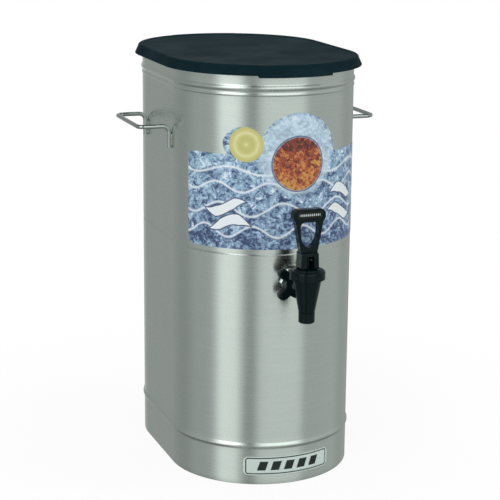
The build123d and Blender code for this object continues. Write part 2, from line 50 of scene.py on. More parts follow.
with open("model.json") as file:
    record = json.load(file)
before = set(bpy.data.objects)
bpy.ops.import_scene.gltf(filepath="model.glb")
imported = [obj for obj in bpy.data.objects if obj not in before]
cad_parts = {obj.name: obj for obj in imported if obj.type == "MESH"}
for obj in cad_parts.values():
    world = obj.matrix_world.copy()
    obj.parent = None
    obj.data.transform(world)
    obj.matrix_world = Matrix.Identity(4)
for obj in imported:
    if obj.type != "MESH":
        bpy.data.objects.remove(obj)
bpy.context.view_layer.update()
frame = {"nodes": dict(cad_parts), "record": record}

# Places read from the construction
SHELL_LOW, SHELL_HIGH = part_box("tank_shell")
SKIRT_LOW, SKIRT_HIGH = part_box("base_skirt")
LID_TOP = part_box("lid")[1].z
LABEL_LOW, LABEL_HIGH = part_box("lever_label")
BADGE_LOW, BADGE_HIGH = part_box("front_badge")
WASHER_LOW, WASHER_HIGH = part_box("outer_washer")

SHANK_HEIGHT = (WASHER_LOW.z + WASHER_HIGH.z) / 2
LABEL_HEIGHT = (LABEL_LOW.z + LABEL_HIGH.z) / 2
BADGE_HEIGHT = (BADGE_LOW.z + BADGE_HIGH.z) / 2

# Steps of the meshes
TURN_STEPS = 128
SIDE_STEPS = 32
ROLL_STEPS = 24
SHOULDER_STEPS = 8
DISH_STEPS = 6
BEND_STEPS = 10
WIRE_SIDES = 24
HOLE_STEPS = 64
WELD_SIDES = 12
WELD_STEPS = 36
SHARP = radians(35)
SHARP_WIRE = radians(50)
MERGE = 1.0e-7
NO_LENGTH = 1.0e-8
NO_GAP = 1.0e-6

# Small details. The joggle leaves the wall, nears the lap and meets it, each as a distance from
# that and a height over where it starts
HOLE_REACH = 20.0 * MM
DISH_RUN = 1.6 * MM
LIP = 0.5 * MM
JOGGLE = ((0.3 * MM, 0.3 * MM), (0.3 * MM, 1.1 * MM), (0.0, 1.5 * MM))
WELD_RIPPLES = 12
WELD_SHARE = 0.66
WELD_WAIST = 0.86
WELD_POINT = 0.05

# Grain that runs no way in particular
EVEN = (1.0, 1.0, 1.0)

# Print, in millimetres round the wall from the front and of height. Facets are (width, share of
# the tone), waves (height, swing, length, shift), ribbons (middle, height, shift), and the halo,
# disc and spot (place round the wall, height, radius, softness). A crest is (full within, gone
# at, strength), and the ground under it deepens over (distance, change of tone). A ribbon's ends
# are (from, to, half height before and after), its rim and fill are (gone, full) at a distance
# inside its edge, and the search for the nearest ribbon starts from none. The disc's rim is
# (radius, full within, gone at, strength), and its shade is (from height, to height, change of
# tone before and after)
PRINT_SWIRL = 14.0
PRINT_PUSH = (7.0, 7.0, 0.0)
SWIRL_SHARE = 0.3
PRINT_FACETS = ((8.0, 0.3), (3.0, 0.42), (1.4, 0.3))
PRINT_WAVES = (
    (322.0, 7.0, 61.0, 0.4),
    (349.0, 8.0, 78.0, 2.6),
    (376.0, 6.0, 66.0, 4.4),
    (396.0, 5.0, 90.0, 0.9),
)
PRINT_CREST = (0.5, 2.2, 0.8)
PRINT_DEEPEN = (2.0, 0.045)
PRINT_RIBBONS = ((-84.0, 352.0, 0.5), (-78.0, 330.0, 1.3), (80.0, 362.0, 2.1), (76.0, 338.0, 2.9))
RIBBON_SWING = 7.0
RIBBON_LENGTH = 74.0
RIBBON_ENDS = (12.0, 33.0, 6.2, -3.0)
RIBBON_RIM = (-1.6, -0.9)
RIBBON_FILL = (-0.2, 0.5)
RIBBON_NONE = -1.0e3
PRINT_HALO = (6.0, 415.0, 48.5, 2.5)
PRINT_DISC = (6.0, 404.0, 32.0, 0.5)
PRINT_SPOT = (-58.0, 428.0, 21.0, 0.5)
HALO_SHARE = 0.55
DISC_RIM = (33.2, 0.6, 1.2, 0.8)
DISC_SHADE = (376.0, 430.0, -0.3, 0.12)
SPOT_RING = 7.0

# Badge, in millimetres: half size of its middle without the round corners, the rim line as
# (distance from that, full within, gone at), and the bars' lean, half spacing, half width, half
# height and half run
BADGE_CORE = (52.0, 7.2, 0.0)
BADGE_LINE = (2.9, 0.55, 0.9)
BAR_LEAN = -0.33
BAR_REPEAT = 8.5
BAR_HALF = 5.4
BAR_RISE = 5.8
BAR_RUN = 39.2

# Lever label, in millimetres: half spacing, radius, softness and half run of its drops, and how
# much ink they take
DROP_REPEAT = 1.3
DROP_REACH = 1.55
DROP_SOFT = 0.25
DROP_RUN = 12.8
DROP_INK = 0.85

# Softness of a printed edge, in millimetres
INK_SOFT = 0.2

# Floor and studio. The fill is what matt surfaces are lit by. Panels, walls and the low part are
# what metal and gloss see: panels are (middle, half width, softness) in degrees from the front,
# gain at the horizon, and how many times that they reach above it, and a change with height is
# (from, to, share or strength before and after), with heights as sines of elevation. Lamps are
# (name, power, width, height, place, aim)
FLOOR_RADIUS = 8.0
FLOOR_SIDES = 96
FLOOR_GAP = 0.2 * MM
FLOOR_GLOW = 0.9
FLOOR_FADE = (0.2, 0.65)
FILL_LIGHT = 0.45
STUDIO_TINT = "#F9FFFC"
PANEL_RISE = (0.05, 0.4, 1.0)
HIGH_PANELS = (0.75, 0.95, 1.0, 0.1)
WALLS = (0.55, 0.9, 0.35, 0.05)
LOW_PART = (-0.35, -0.7, 1.0, 0.5)
PANELS = (
    (-58.0, 16.0, 8.0, 0.64, 3.2),
    (-92.0, 24.0, 14.0, 0.12, 1.0),
    (-25.0, 9.0, 5.0, -0.02, 15.0),
    (8.0, 30.0, 6.0, 0.40, 3.0),
    (10.0, 88.0, 12.0, 0.05, 1.0),
    (70.0, 30.0, 12.0, 0.12, 1.6),
    (118.0, 22.0, 12.0, 0.06, 1.0),
    (-168.0, 24.0, 14.0, 0.03, 1.0),
    (168.0, 16.0, 10.0, 0.20, 0.0),
)
LAMPS = (
    ("key_lamp", 26.0, 1.2, 1.2, (-1.3, -1.7, 1.9), (0.0, 0.0, 0.25)),
    ("side_lamp", 12.0, 1.0, 1.4, (1.9, -1.0, 1.2), (0.0, 0.0, 0.25)),
    ("top_lamp", 14.0, 1.6, 1.6, (0.0, 0.3, 2.4), (0.0, 0.0, 0.3)),
)
SENSOR_WIDTH = 36.0


def linear(code):
    """An sRGB hex colour as linear red, green, blue and alpha."""
    parts = [int(code[i : i + 2], 16) / 255 for i in (1, 3, 5)]
    return (*[p / 12.92 if p <= 0.04045 else ((p + 0.055) / 1.055) ** 2.4 for p in parts], 1.0)


def size(name, value, about):
    """A length in metres that a user may change."""
    kind = {"subtype": "DISTANCE", "unit": "LENGTH"}
    return FloatProperty(name=name, default=value, description=about, **kind)


def colour(name, code, about):
    """A colour that a user may change."""
    kind = {"subtype": "COLOR", "size": 4, "min": 0.0, "max": 1.0}
    return FloatVectorProperty(name=name, default=linear(code), description=about, **kind)


def angle(name, value, about):
    """An angle in radians that a user may change."""
    kind = {"subtype": "ANGLE", "unit": "ROTATION"}
    return FloatProperty(name=name, default=value, description=about, **kind)


class VesselSizes(bpy.types.PropertyGroup):
    """Sizes of the sheet-metal vessel."""

    wall: size("Wall radius", 115.0 * MM, "Outer radius of the two half circles")
    arc_y: size("Half straight", 55.0 * MM, "Half the length of the straight sides")
    sheet: size("Sheet", 1.0 * MM, "Thickness of the stainless sheet")
    lower_bead: size("Lower bead", 50.5 * MM, "Height of the bead near the foot")
    upper_bead: size("Upper bead", 494.5 * MM, "Height of the bead near the rim")
    bead_out: size("Bead depth", 1.7 * MM, "How far the beads stand out")
    bead_half: size("Bead half width", 4.6 * MM, "Half the height of a bead")
    step_bead: size("Step bead", 486.8 * MM, "Height of the fine line under the upper bead")
    step_out: size("Step depth", 0.8 * MM, "How far the fine line stands out")
    step_half: size("Step half width", 2.4 * MM, "Half the height of the fine line")
    rim_wire: size("Rim roll", 4.4 * MM, "Diameter of the rolled rim")
    hem: size("Hem", 9.0 * MM, "Width of the hem turned in at the foot")
    hem_round: size("Hem round", 0.8 * MM, "Radius of the fold at the foot")
    lap: size("Lap", 18.0 * MM, "Height of the lap behind the upper sheet")
    weld_gap: size("Weld gap", 0.1 * MM, "Gap between lapped sheets")
    shank_hole: size("Shank hole", 11.3 * MM, "Radius of the hole for the shank")


class LidSizes(bpy.types.PropertyGroup):
    """Sizes of the moulded lid."""

    seat: size("Seat", 518.8 * MM, "Height of the lid's underside, just above the rim")
    reach_top: size("Reach at the top", 5.6 * MM, "How far the top edge stands outside the wall")
    reach_foot: size("Reach at the foot", 9.5 * MM, "How far the skirt's foot stands outside")
    wall: size("Wall", 2.2 * MM, "Thickness of the moulding")
    skirt: size("Skirt height", 11.9 * MM, "Height of the skirt from the top face")
    shoulder: size("Shoulder", 3.0 * MM, "Radius of the top edge")
    dish_inset: size("Dish inset", 9.0 * MM, "Distance of the dish from the top edge")
    dish_depth: size("Dish depth", 0.8 * MM, "Depth of the dish")
    rib_gap: size("Rib gap", 1.2 * MM, "Gap between the locating rib and the tank wall")
    rib_depth: size("Rib depth", 11.0 * MM, "How far the locating rib reaches into the tank")
    tab_angle: angle("Tab half angle", radians(22.0), "Half the angle that a thumb tab takes")
    tab_edge: angle("Tab edge", radians(0.5), "Angle over which a tab's end rises")
    tab_proud: size("Tab proud", 1.5 * MM, "How far a thumb tab stands out")
    tab_drop: size("Tab drop", 2.3 * MM, "How far a thumb tab hangs below the skirt")


class GripSizes(bpy.types.PropertyGroup):
    """Sizes of the wire handles."""

    wire: size("Wire", 5.2 * MM, "Diameter of the handle wire")
    spacing: size("Spacing", 101.0 * MM, "Distance between the two arms of a handle")
    bend: size("Bend", 9.0 * MM, "Radius of the bends, at the middle of the wire")
    leg: size("Leg", 27.0 * MM, "Length of the leg on the wall")
    weld: size("Weld", 2.4 * MM, "Size of the weld beads beside a leg")


class Finishes(bpy.types.PropertyGroup):
    """Colours of the finishes."""

    steel: colour("Stainless steel", "#D4DAD5", "Brushed stainless sheet")
    steel_dark: colour("Stainless steel, grain", "#CBD2CE", "Darker lines of the brushed grain")
    wire: colour("Wire", "#AEB4B2", "Drawn stainless wire")
    lid: colour("Lid", "#0F2228", "Moulded polypropylene")
    lid_worn: colour("Lid, worn", "#1A2E33", "Scuffed polypropylene")
    tap: colour("Tap", "#0B181A", "Moulded glossy ABS")
    rubber: colour("Rubber", "#15171A", "Black nitrile rubber")
    silicone: colour("Silicone", "#D8D9D2", "Natural silicone")
    badge: colour("Badge face", "#C9D8D3", "Face of the badge plate")
    badge_ink: colour("Badge ink", "#142421", "Ink on the badge plate")
    sky: colour("Print, pale blue", "#A8C8DD", "Upper ground of the print")
    water: colour("Print, mid blue", "#7A95B3", "Waves of the print")
    deep: colour("Print, deep blue", "#3D4C70", "Deep ground of the print")
    foam: colour("Print, white", "#E6EFF5", "Lightest flecks of the print")
    amber: colour("Print, amber", "#B9613F", "Disc of the print")
    honey: colour("Print, honey", "#C79A55", "Light facets in the disc")
    yellow: colour("Print, yellow", "#C3C07A", "Spot of the print")


class StageSettings(bpy.types.PropertyGroup):
    """Camera and light."""

    lens: FloatProperty(name="Lens", default=113.96, description="Focal length", unit="CAMERA")
    distance: size("Distance", 2005.2 * MM, "Camera's distance from the middle, on the floor")
    height: size("Height", 759.5 * MM, "Height of the camera")
    azimuth: angle("Azimuth", 0.352, "Camera's angle to the left of the front")
    yaw: angle("Yaw", 0.0039, "Aim beside the middle")
    pitch: angle("Pitch", 0.2447, "Aim below the horizon")
    roll: angle("Roll", 0.0098, "Turn about the aim")


def add_node(tree, kind, inputs=None, stops=None, **settings):
    """Adds a node with its settings; an input is a number, a colour, a socket or another node."""
    made = tree.nodes.new(f"ShaderNode{kind}")
    for key, value in settings.items():
        setattr(made, key, value)
    for key, value in (inputs or {}).items():
        if isinstance(value, bpy.types.Node):
            value = next(output for output in value.outputs if output.enabled)
        if isinstance(value, bpy.types.NodeSocket):
            tree.links.new(value, made.inputs[key])
        else:
            made.inputs[key].default_value = value
    for index, (place, tint) in enumerate(stops or ()):
        elements = made.color_ramp.elements
        element = elements[index] if index < 2 else elements.new(place)
        element.position = place
        element.color = tint
    return made


def emptied(owner):
    """Empties the node tree of a material or world and gives a call that adds nodes to it."""
    owner.use_nodes = True
    owner.node_tree.nodes.clear()
    return partial(add_node, owner.node_tree)


def grain(put, stretch, spacing, low, high, detail=2.0):
    """Noise drawn out along the axes by stretch, at a spacing in metres, from low to high."""
    scale = [1 / (spacing * share) for share in stretch]
    drawn = put("Mapping", {"Vector": put("TexCoord").outputs["Object"], "Scale": scale})
    noise = put("TexNoise", {"Vector": drawn, "Scale": 1.0, "Detail": detail, "Roughness": 0.6})
    span = {"Value": noise, "From Min": 0.3, "From Max": 0.7, "To Min": low, "To Max": high}
    return put("MapRange", span)


def band(put, value, middle, inner, outer, most=1.0, least=0.0, **settings):
    """A mask that is most within inner of a middle value and falls to least at outer."""
    off = put("Math", {0: value, 1: middle}, operation="SUBTRACT")
    off = put("Math", {0: off}, operation="ABSOLUTE")
    edges = {"Value": off, "From Min": inner, "From Max": outer, "To Min": most, "To Max": least}
    return put("MapRange", edges, **settings)


def wave_line(put, along, level, swing, length, shift):
    """Height of a wavy line at a place along it."""
    phase = put("Math", {0: along, 1: tau / length, 2: shift}, operation="MULTIPLY_ADD")
    rise = put("Math", {0: phase}, operation="SINE")
    return put("Math", {0: rise, 1: swing, 2: level}, operation="MULTIPLY_ADD")


def wall_place(put):
    """Millimetres round the wall from the front, and millimetres of height."""
    sizes = bpy.context.scene.dispenser_vessel
    place = put("SeparateXYZ", {"Vector": put("TexCoord").outputs["Object"]})
    ahead = put("Math", {0: -sizes.arc_y, 1: place.outputs["Y"]}, operation="SUBTRACT")
    turn = put("Math", {0: place.outputs["X"], 1: ahead}, operation="ARCTAN2")
    along = put("Math", {0: turn, 1: sizes.wall / MM}, operation="MULTIPLY")
    height = put("Math", {0: place.outputs["Z"], 1: 1 / MM}, operation="MULTIPLY")
    return along, height


def brushed_stainless(put):
    """Stainless sheet, brushed round the vessel: reflections are drawn out up and down."""
    colours = bpy.context.scene.dispenser_finishes
    # Brush lines are about 0.05 mm apart and are drawn at 0.6 mm so that they show
    lines = grain(put, (80.0, 80.0, 1.0), 0.6 * MM, 0.0, 1.0)
    # Rolling and forming leave soft waves about 55 mm wide
    waves = grain(put, (1.0, 1.0, 3.0), 55.0 * MM, 0.0, 1.0, detail=1.0)
    # Handling leaves fine marks that dull the shine here and there
    marks = grain(put, (1.0, 1.0, 0.4), 24.0 * MM, 0.0, 1.0, detail=4.0)
    rough = put("Math", {0: lines, 1: marks}, operation="ADD")
    rough = {"Value": rough, "From Max": 2.0, "To Min": 0.24, "To Max": 0.30}
    soft = put("Bump", {"Height": waves, "Distance": 0.16 * MM})
    tint = {"Factor": lines, "A": colours.steel_dark, "B": colours.steel}
    return {
        "Base Color": put("Mix", tint, data_type="RGBA"),
        "Metallic": 1.0,
        "Roughness": put("MapRange", rough),
        "Anisotropic": 0.7,
        "Anisotropic Rotation": 0.25,
        "Tangent": put("Tangent", direction_type="RADIAL", axis="Z"),
        "Normal": put("Bump", {"Height": lines, "Distance": 0.0002 * MM, "Normal": soft}),
    }


def drawn_wire(put):
    """Stainless wire, drawn through a die and tumbled: nearly bright, with faint dents."""
    dents = grain(put, EVEN, 2.0 * MM, 0.0, 1.0)
    return {
        "Base Color": bpy.context.scene.dispenser_finishes.wire,
        "Metallic": 1.0,
        "Roughness": grain(put, EVEN, 1.5 * MM, 0.08, 0.16),
        "Normal": put("Bump", {"Height": dents, "Distance": 0.01 * MM}),
    }


def weld_metal(put):
    """Stainless filler, run in by arc and left as it cooled: rippled, dulled and a little straw."""
    ripples = grain(put, (1.0, 1.0, 0.4), 1.6 * MM, 0.0, 1.0)
    tint = put(
        "ValToRGB",
        {"Fac": grain(put, EVEN, 4.0 * MM, 0.0, 1.0)},
        stops=[(0.0, linear("#8E948F")), (0.7, linear("#B7BAB2")), (1.0, linear("#B5A78C"))],
    )
    return {
        "Base Color": tint,
        "Metallic": 1.0,
        "Roughness": grain(put, EVEN, 1.0 * MM, 0.3, 0.48),
        "Normal": put("Bump", {"Height": ripples, "Distance": 0.15 * MM}),
    }


def turned_stainless(put):
    """Stainless bar, turned on a lathe: fine rings that catch the light."""
    rings = grain(put, (20.0, 1.0, 20.0), 0.4 * MM, 0.0, 1.0)
    return {
        "Base Color": bpy.context.scene.dispenser_finishes.steel,
        "Metallic": 1.0,
        "Roughness": grain(put, (20.0, 1.0, 20.0), 0.4 * MM, 0.2, 0.34),
        "Normal": put("Bump", {"Height": rings, "Distance": 0.006 * MM}),
    }


def spring_steel(put):
    """Drawn spring wire, stainless: a little darker than sheet, smooth."""
    speckle = grain(put, EVEN, 0.6 * MM, 0.0, 1.0)
    return {
        "Base Color": linear("#A9AFAE"),
        "Metallic": 1.0,
        "Roughness": grain(put, EVEN, 0.6 * MM, 0.22, 0.34),
        "Normal": put("Bump", {"Height": speckle, "Distance": 0.004 * MM}),
    }


def moulded_polypropylene(put):
    """Polypropylene from a fine eroded mould: satin, soft highlights, faint scuffs."""
    colours = bpy.context.scene.dispenser_finishes
    # Eroded texture of about 0.3 mm, drawn at 0.9 mm
    pits = grain(put, EVEN, 0.9 * MM, 0.0, 1.0)
    clouds = grain(put, EVEN, 50.0 * MM, 0.0, 1.0)
    scuffs = grain(put, (6.0, 1.0, 1.0), 9.0 * MM, 0.0, 1.0, detail=5.0)
    worn = put("Math", {0: clouds, 1: scuffs}, operation="MULTIPLY")
    tint = {"Factor": worn, "A": colours.lid, "B": colours.lid_worn}
    return {
        "Base Color": put("Mix", tint, data_type="RGBA"),
        "Roughness": grain(put, EVEN, 45.0 * MM, 0.42, 0.54),
        "Specular IOR Level": 0.01,
        "Normal": put("Bump", {"Height": pits, "Distance": 0.03 * MM}),
    }


def moulded_abs(put):
    """ABS, moulded glossy: deep black with slightly wavy highlights."""
    waves = grain(put, EVEN, 6.0 * MM, 0.0, 1.0)
    return {
        "Base Color": bpy.context.scene.dispenser_finishes.tap,
        "Roughness": grain(put, EVEN, 5.0 * MM, 0.08, 0.14),
        "Specular IOR Level": 0.11,
        "Normal": put("Bump", {"Height": waves, "Distance": 0.04 * MM}),
    }


def nitrile_rubber(put):
    """Nitrile rubber washers, cut from sheet: matt black with a dusty bloom."""
    rubber = bpy.context.scene.dispenser_finishes.rubber
    bloom = grain(put, EVEN, 2.0 * MM, 0.0, 0.6)
    tint = {"Factor": bloom, "A": rubber, "B": linear("#2A2D30")}
    return {
        "Base Color": put("Mix", tint, data_type="RGBA"),
        "Roughness": 0.7,
        "Normal": put("Bump", {"Height": bloom, "Distance": 0.02 * MM}),
    }


def silicone(put):
    """Natural silicone, moulded: milky, soft sheen, a little light passes in."""
    mist = grain(put, EVEN, 3.0 * MM, 0.0, 1.0)
    return {
        "Base Color": bpy.context.scene.dispenser_finishes.silicone,
        "Roughness": grain(put, EVEN, 3.0 * MM, 0.38, 0.5),
        "Subsurface Weight": 0.3,
        "Subsurface Scale": 1.0 * MM,
        "Normal": put("Bump", {"Height": mist, "Distance": 0.02 * MM}),
    }


def printed_film(put):
    """Vinyl film, printed and laminated: waves of blue facets, an amber disc, a yellow spot."""
    colours = bpy.context.scene.dispenser_finishes
    along, height = wall_place(put)
    flat = put("CombineXYZ", {"X": along, "Y": height})
    cloud = {"Vector": flat, "Scale": 1 / PRINT_SWIRL, "Detail": 1.0}
    swirl = put("TexNoise", cloud, noise_dimensions="2D")
    # The swirl pushes the facets about
    push = {0: swirl.outputs["Color"], 1: PRINT_PUSH, 2: flat}
    bent = put("VectorMath", push, operation="MULTIPLY_ADD")
    tone = put("Math", {0: swirl, 1: SWIRL_SHARE}, operation="MULTIPLY")
    for width, share in PRINT_FACETS:
        facets = put("TexVoronoi", {"Vector": bent, "Scale": 1 / width}, voronoi_dimensions="2D")
        part = put("SeparateColor", {"Color": facets.outputs["Color"]})
        more = {0: part.outputs["Red"], 1: share, 2: tone}
        tone = put("Math", more, operation="MULTIPLY_ADD")
    # Each wave has a pale crest, and the ground is deeper under it
    crests = 0.0
    fall, deeper = PRINT_DEEPEN
    for wave in PRINT_WAVES:
        crest = wave_line(put, along, *wave)
        under = put("Math", {0: crest, 1: height}, operation="SUBTRACT")
        depth = put("MapRange", {"Value": under, "From Max": fall, "To Max": deeper})
        tone = put("Math", {0: tone, 1: depth}, operation="ADD")
        line = band(put, under, 0.0, *PRINT_CREST)
        crests = put("Math", {0: crests, 1: line}, operation="MAXIMUM")
    blues = ((0.3, colours.foam), (1.04, colours.deep), (0.5, colours.sky), (0.78, colours.water))
    ground = put("ValToRGB", {"Fac": tone}, stops=blues)
    # Ribbons with dark rims run across the band on both sides of the tap
    ribbon = RIBBON_NONE
    for middle, level, shift in PRINT_RIBBONS:
        spine = wave_line(put, along, level, RIBBON_SWING, RIBBON_LENGTH, shift)
        off = put("Math", {0: height, 1: spine}, operation="SUBTRACT")
        off = put("Math", {0: off}, operation="ABSOLUTE")
        taper = band(put, along, middle, *RIBBON_ENDS)
        inside = put("Math", {0: taper, 1: off}, operation="SUBTRACT")
        ribbon = put("Math", {0: ribbon, 1: inside}, operation="MAXIMUM")
    rim, fill = (
        put("MapRange", {"Value": ribbon, "From Min": gone, "From Max": full})
        for gone, full in (RIBBON_RIM, RIBBON_FILL)
    )
    # A pale halo holds the disc, which grows darker towards its top; the spot has rings
    circles = []
    for across, up, radius, soft in (PRINT_HALO, PRINT_DISC, PRINT_SPOT):
        away = put("VectorMath", {0: flat, 1: (across, up, 0.0)}, operation="DISTANCE")
        circles.append((away.outputs["Value"], radius - soft, radius + soft))
    halo, disc, spot = circles
    low, high, first, last = DISC_SHADE
    shade = {"Value": height, "From Min": low, "From Max": high, "To Min": first, "To Max": last}
    shade = put("Math", {0: tone, 1: put("MapRange", shade)}, operation="ADD")
    brews = (
        (0.3, colours.honey),
        (0.9, linear("#5A3330")),
        (0.5, colours.amber),
        (0.7, linear("#8C4838")),
    )
    rings = put("Math", {0: spot[0], 1: SPOT_RING}, operation="PINGPONG")
    rings = put("Math", {0: rings, 1: 1 / SPOT_RING}, operation="MULTIPLY")
    yellows = ((0.0, linear("#D9D9A8")), (0.7, colours.yellow), (0.3, linear("#CFCB86")))
    layers = (
        (crests, colours.foam),
        (rim, colours.deep),
        (fill, linear("#E6EEF0")),
        (band(put, halo[0], 0.0, *halo[1:], HALO_SHARE), linear("#C9DDE8")),
        (band(put, disc[0], 0.0, *disc[1:]), put("ValToRGB", {"Fac": shade}, stops=brews)),
        (band(put, disc[0], *DISC_RIM), colours.deep),
        (band(put, spot[0], 0.0, *spot[1:]), put("ValToRGB", {"Fac": rings}, stops=yellows)),
    )
    for mask, tint in layers:
        ground = put("Mix", {"Factor": mask, "A": ground, "B": tint}, data_type="RGBA")
    wear = grain(put, EVEN, 10.0 * MM, 0.0, 1.0, detail=4.0)
    return {
        "Base Color": ground,
        "Roughness": grain(put, EVEN, 12.0 * MM, 0.3, 0.4),
        "Specular IOR Level": 0.3,
        "Normal": put("Bump", {"Height": wear, "Distance": 0.02 * MM}),
    }


def badge_plate(put):
    """Aluminium plate, painted pale, printed with a rim line and leaning bars, and lacquered."""
    colours = bpy.context.scene.dispenser_finishes
    along, height = wall_place(put)
    up = put("Math", {0: height, 1: BADGE_HEIGHT / MM}, operation="SUBTRACT")
    folded = put("CombineXYZ", {"X": along, "Y": up})
    folded = put("VectorMath", {0: folded}, operation="ABSOLUTE")
    past = put("VectorMath", {0: folded, 1: BADGE_CORE}, operation="SUBTRACT")
    past = put("VectorMath", {0: past, 1: (0.0, 0.0, 0.0)}, operation="MAXIMUM")
    reach = put("VectorMath", {0: past}, operation="LENGTH").outputs["Value"]
    leaning = put("Math", {0: up, 1: BAR_LEAN, 2: along}, operation="MULTIPLY_ADD")
    repeat = put("Math", {0: leaning, 1: BAR_REPEAT}, operation="PINGPONG")
    bars = 1.0
    for value, edge in ((repeat, BAR_HALF), (up, BAR_RISE), (leaning, BAR_RUN)):
        inside = band(put, value, 0.0, edge - INK_SOFT, edge + INK_SOFT)
        bars = put("Math", {0: bars, 1: inside}, operation="MULTIPLY")
    line = band(put, reach, *BADGE_LINE)
    ink = put("Math", {0: bars, 1: line}, operation="MAXIMUM")
    tint = {"Factor": ink, "A": colours.badge, "B": colours.badge_ink}
    return {
        "Base Color": put("Mix", tint, data_type="RGBA"),
        "Roughness": grain(put, EVEN, 4.0 * MM, 0.32, 0.42),
        "Specular IOR Level": 0.35,
    }


def label_inlay(put):
    """Polyester label, printed with a row of pale drops, under a clear face."""
    place = put("SeparateXYZ", {"Vector": put("TexCoord").outputs["Object"]})
    across = put("Math", {0: place.outputs["X"], 1: 1 / MM}, operation="MULTIPLY")
    up = put("Math", {0: place.outputs["Z"], 1: LABEL_HEIGHT}, operation="SUBTRACT")
    up = put("Math", {0: up, 1: 1 / MM}, operation="MULTIPLY")
    # Drops are half as wide as they are tall
    beside = put("Math", {0: across, 1: DROP_REPEAT}, operation="PINGPONG")
    beside = put("Math", {0: beside, 1: 2.0}, operation="MULTIPLY")
    spot = put("CombineXYZ", {"X": beside, "Y": up})
    reach = put("VectorMath", {0: spot}, operation="LENGTH").outputs["Value"]
    drop = band(put, reach, 0.0, DROP_REACH - DROP_SOFT, DROP_REACH + DROP_SOFT, DROP_INK)
    row = band(put, across, 0.0, DROP_RUN - INK_SOFT, DROP_RUN + INK_SOFT)
    ink = put("Math", {0: drop, 1: row}, operation="MULTIPLY")
    tint = {"Factor": ink, "A": linear("#090E0E"), "B": linear("#C9D4D6")}
    return {
        "Base Color": put("Mix", tint, data_type="RGBA"),
        "Roughness": grain(put, EVEN, 3.0 * MM, 0.26, 0.36),
        "Specular IOR Level": 0.3,
    }


FINISH = {
    "stainless_sheet": ("brushed_stainless_sheet", brushed_stainless),
    "steel_wire": ("drawn_stainless_wire", drawn_wire),
    "machined_steel": ("turned_stainless_bar", turned_stainless),
    "spring_steel": ("stainless_spring_wire", spring_steel),
    "lid_plastic": ("moulded_polypropylene", moulded_polypropylene),
    "tap_plastic": ("moulded_black_abs", moulded_abs),
    "print_film": ("printed_vinyl_film", printed_film),
    "badge_plate": ("painted_aluminium_badge", badge_plate),
    "seal_rubber": ("nitrile_rubber", nitrile_rubber),
    "silicone": ("moulded_silicone", silicone),
    "label_inlay": ("printed_polyester_label", label_inlay),
    "weld": ("stainless_weld_filler", weld_metal),
}


def finish(slot):
    """The material of a slot, made when it is first asked for."""
    name, look = FINISH[slot]
    made = bpy.data.materials.get(name)
    if not made:
        made = bpy.data.materials.new(name)
        put = emptied(made)
        put("OutputMaterial", {"Surface": put("BsdfPrincipled", look(put))})
    return made


def finish_nodes(*names):
    """Gives construction nodes the finish of their own material slot."""
    slots = {part["node"]: part["material_slot"] for part in frame["record"]["subparts"]}
    for name in names:
        target = frame["nodes"][name]
        target.data.materials.clear()
        target.data.materials.append(finish(slots[name]))


def piece(name, verts, faces, body, slot, replaces=(), sharp=SHARP):
    """A mesh piece that rides on a body, with the finish of a slot."""
    data = bpy.data.meshes.new(name)
    data.from_pydata(verts, [], faces)
    work = bmesh.new()
    work.from_mesh(data)
    bmesh.ops.remove_doubles(work, verts=work.verts, dist=MERGE)
    bmesh.ops.recalc_face_normals(work, faces=work.faces)
    work.to_mesh(data)
    work.free()
    target = bpy.data.objects.new(name, data)
    bpy.context.scene.collection.objects.link(target)
    return finish_piece(target, body, slot, replaces, sharp)


def finish_piece(target, body, slot, replaces, sharp):
    """Shades, paints and hangs a finished piece."""
    target.data.shade_smooth()
    target.data.set_sharp_from_angle(angle=sharp)
    target.data.materials.clear()
    target.data.materials.append(finish(slot))
    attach(target, body)
    # Weld beads have no slot of their own in the construction
    if replaces:
        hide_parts(*replaces)
    return target


def columns(turn_angles, side_steps):
    """Places round the oval: (outward x, outward y, centre y), at turn angles from the front."""
    sizes = bpy.context.scene.dispenser_vessel
    made = []
    for end in (-1, 1):
        for turn in turn_angles:
            made.append((-end * sin(turn), end * cos(turn), end * sizes.arc_y))
        for step in range(1, side_steps):
            made.append((-end, 0.0, end * sizes.arc_y * (1 - 2 * step / side_steps)))
    return made


def even_turn(steps):
    """Evenly spaced angles over one half circle, in radians."""
    return [-pi / 2 + pi * step / steps for step in range(steps + 1)]


def swept(name, profile_at, around, body, slot, replaces, closed=True):
    """Sweeps a profile of (radius, height) points, which each column may change, round the oval."""
    verts, faces = [], []
    count = len(profile_at(around[0]))
    for column in around:
        out_x, out_y, centre_y = column
        verts += [(out_x * r, centre_y + out_y * r, z) for r, z in profile_at(column)]
    spans = count if closed else count - 1
    for i in range(len(around)):
        j = (i + 1) % len(around)
        for k in range(spans):
            m = (k + 1) % count
            faces.append((i * count + k, j * count + k, j * count + m, i * count + m))
    return piece(name, verts, faces, body, slot, replaces)


def swell(height, middle, half, out):
    """How far a pressed bead stands out at a height, as a soft raised line."""
    share = (height - middle) / half
    return out * cos(share * pi / 2) ** 2 if abs(share) < 1 else 0.0


def levels(low, high, spots, coarse=6.0 * MM, fine=0.4 * MM):
    """Heights from low to high, close together near the given (middle, half) spots."""
    marks = [low, high]
    for middle, half in spots:
        steps = round(2 * half / fine)
        marks += [middle - half + 2 * half * step / steps for step in range(steps + 1)]
    marks = sorted(mark for mark in marks if low <= mark <= high)
    made = [marks[0]]
    for mark in marks[1:]:
        start, gap = made[-1], mark - made[-1]
        parts = max(1, round(gap / coarse))
        if gap > NO_GAP:
            made += [start + gap * part / parts for part in range(1, parts + 1)]
    return made


